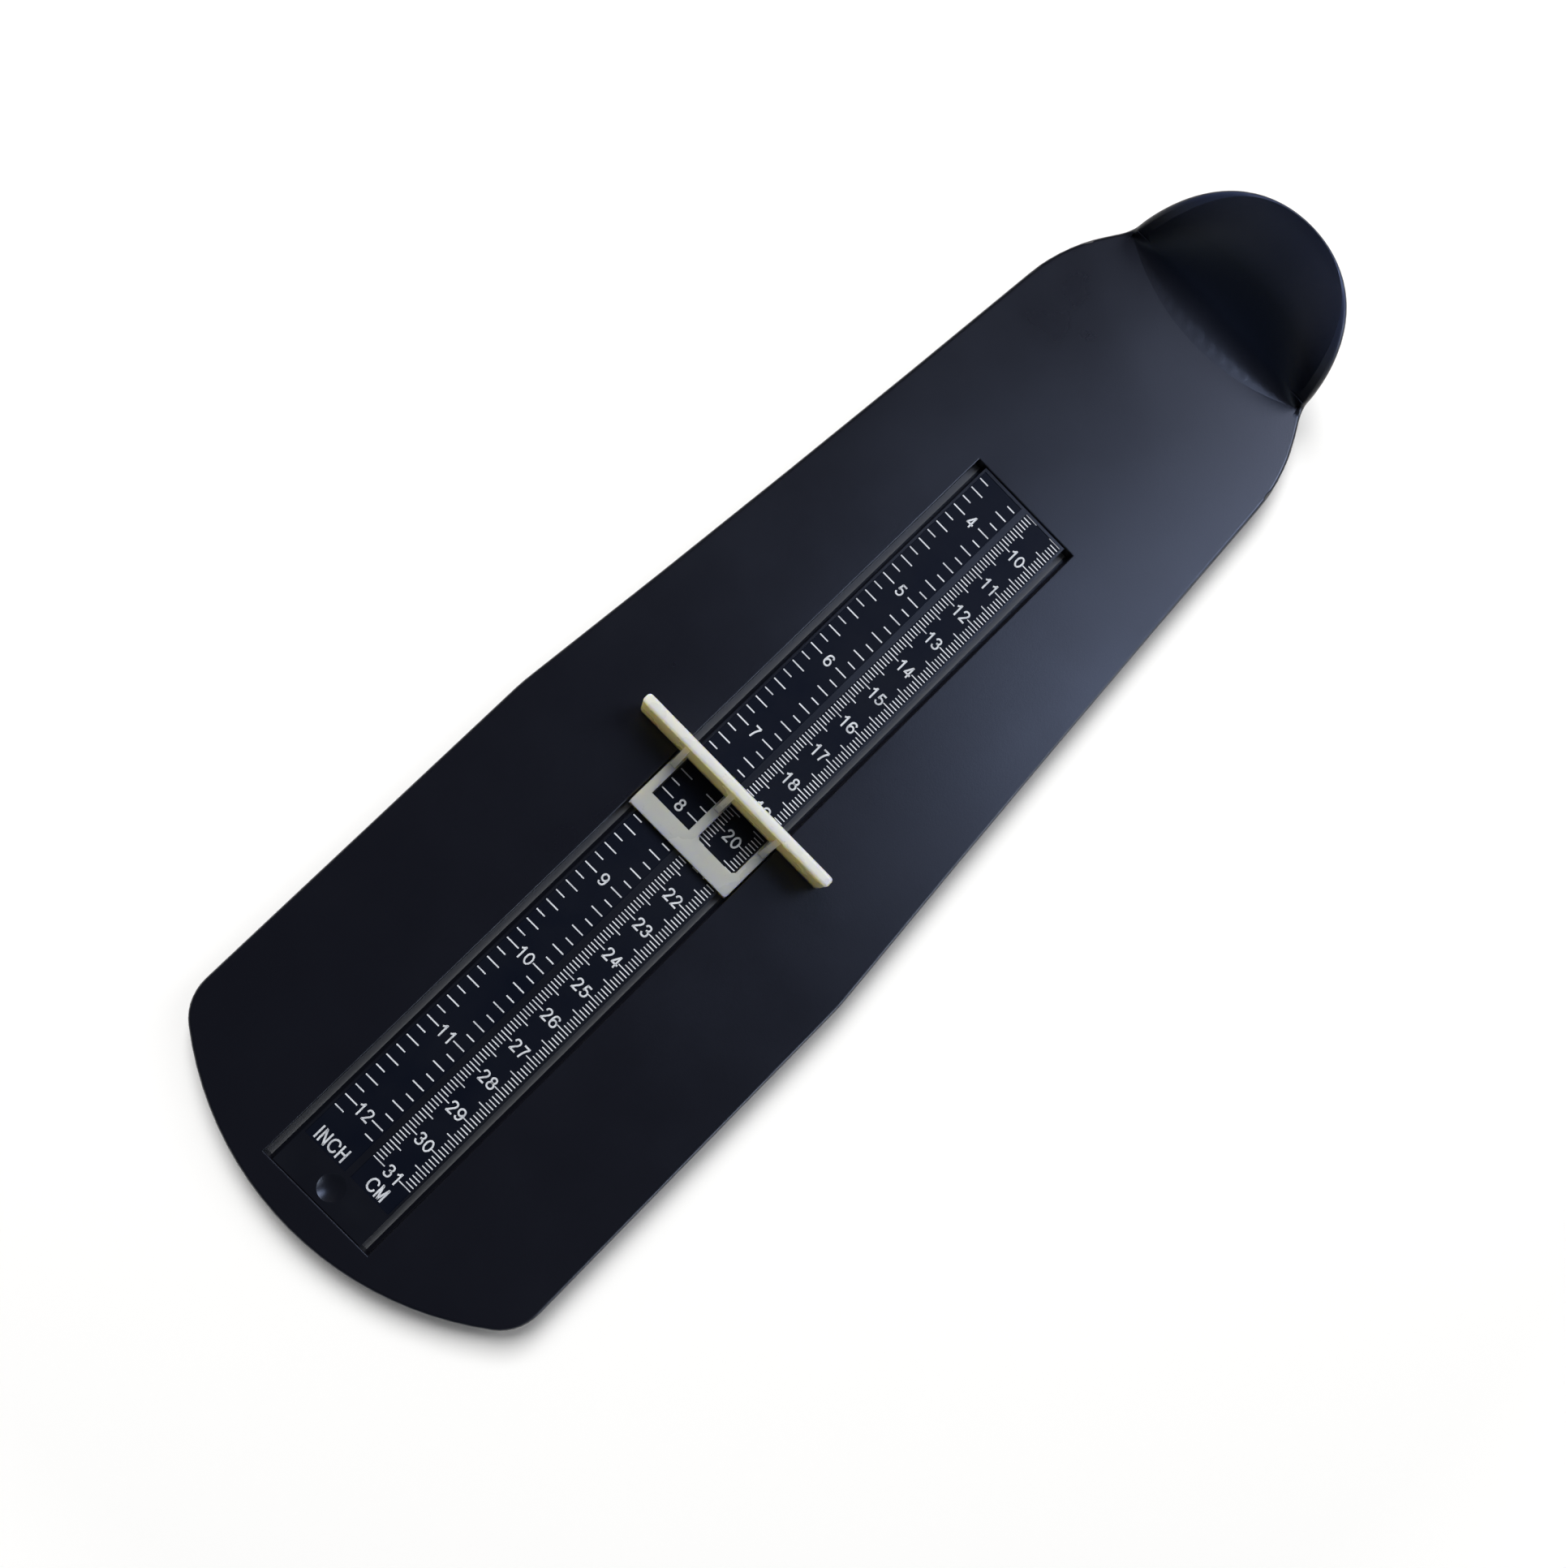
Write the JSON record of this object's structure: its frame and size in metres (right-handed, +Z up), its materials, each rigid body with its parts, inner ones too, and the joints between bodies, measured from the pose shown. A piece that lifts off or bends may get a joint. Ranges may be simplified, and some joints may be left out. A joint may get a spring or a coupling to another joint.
{
  "type": "foot measuring device",
  "caption": "Moulded foot gauge: a tapering board with a heel cup, a lipped inch and centimetre strip in its channel, and an upright toe slider that runs in side grooves.",
  "frame": {"origin": "middle of the board's bounding box, at the ground", "axes": "+Y along the board to the heel, +X to the centimetre side, +Z up"},
  "size_m": [0.11, 0.338, 0.037],
  "materials": {
    "board_plastic": "satin black moulding",
    "strip_plastic": "satin black moulding with white printing",
    "slider_plastic": "satin off-white moulding"
  },
  "bodies": {
    "base": {"base_board": "board_plastic", "scale_strip": "strip_plastic"},
    "toe_slider": {"slider": "slider_plastic"}
  },
  "joints": [
    {"name": "slider_slide", "type": "slide", "parent": "base", "child": "toe_slider", "axis": [0, 1, 0], "range_m": [-0.1146, 0.1022]}
  ]
}
